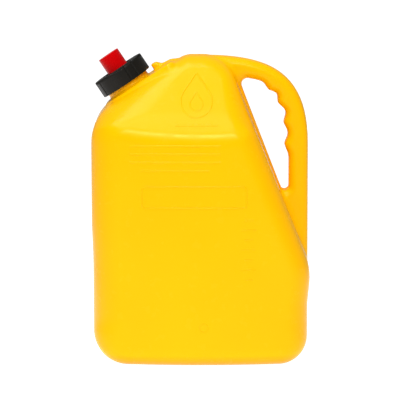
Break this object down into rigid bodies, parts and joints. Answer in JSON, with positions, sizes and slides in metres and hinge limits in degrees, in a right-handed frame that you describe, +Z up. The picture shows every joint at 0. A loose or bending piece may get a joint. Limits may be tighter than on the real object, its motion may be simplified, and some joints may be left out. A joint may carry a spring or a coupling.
{
  "type": "jerry can",
  "caption": "Plastic fuel can with a one-piece tank and grip handle, a tilted screw neck with a collar, a capped pourer outlet and a spout stowed inside.",
  "frame": {"origin": "centre of the base, where the can stands", "axes": "+Z up; +X along the broad faces, towards the handle, away from the neck; +Y from the face shown in front to the back face"},
  "size_m": [0.3097, 0.2252, 0.4421],
  "materials": {
    "body_plastic": "satin moulded HDPE, yellow",
    "collar_plastic": "moulded, black, slightly glossy",
    "cap_plastic": "moulded, red, glossy",
    "spout_plastic": "moulded, black, satin",
    "natural_plastic": "moulded, natural white",
    "seal_rubber": "smooth nitrile rubber"
  },
  "bodies": {
    "tank": {"can_body": "body_plastic"},
    "pourer": {"pourer_base": "collar_plastic", "neck_gasket": "seal_rubber"},
    "ring": {"closure_ring": "collar_plastic"},
    "liner": {"cap_liner": "natural_plastic"},
    "cap": {"red_cap": "cap_plastic"},
    "spout": {"spout_tube": "spout_plastic", "spout_o_ring": "seal_rubber", "spout_strainer": "natural_plastic", "breather_tube": "natural_plastic"}
  },
  "joints": [
    {"name": "closure_lift", "type": "slide", "parent": "tank", "child": "pourer", "axis": [-0.5592, 0, 0.829], "range_m": [0, 0.01501]},
    {"name": "ring_turn", "type": "hinge", "parent": "pourer", "child": "ring", "pos_m": [-0.1048, 0, 0.3935], "axis": [-0.5592, 0, 0.829], "range_deg": [0, 900]},
    {"name": "cap_lift", "type": "slide", "parent": "pourer", "child": "liner", "axis": [-0.5592, 0, 0.829], "range_m": [0, 0.01001]},
    {"name": "cap_turn", "type": "hinge", "parent": "liner", "child": "cap", "pos_m": [-0.1048, 0, 0.3935], "axis": [-0.5592, 0, 0.829], "range_deg": [0, 900]},
    {"name": "spout_pull", "type": "slide", "parent": "pourer", "child": "spout", "axis": [0.5592, 0, -0.829], "range_m": [0, 0.015]}
  ],
  "couplings": [
    {"joint": "closure_lift", "follows": "ring_turn", "m_per_rad": 0.00095493},
    {"joint": "cap_lift", "follows": "cap_turn", "m_per_rad": 0.00063662}
  ]
}
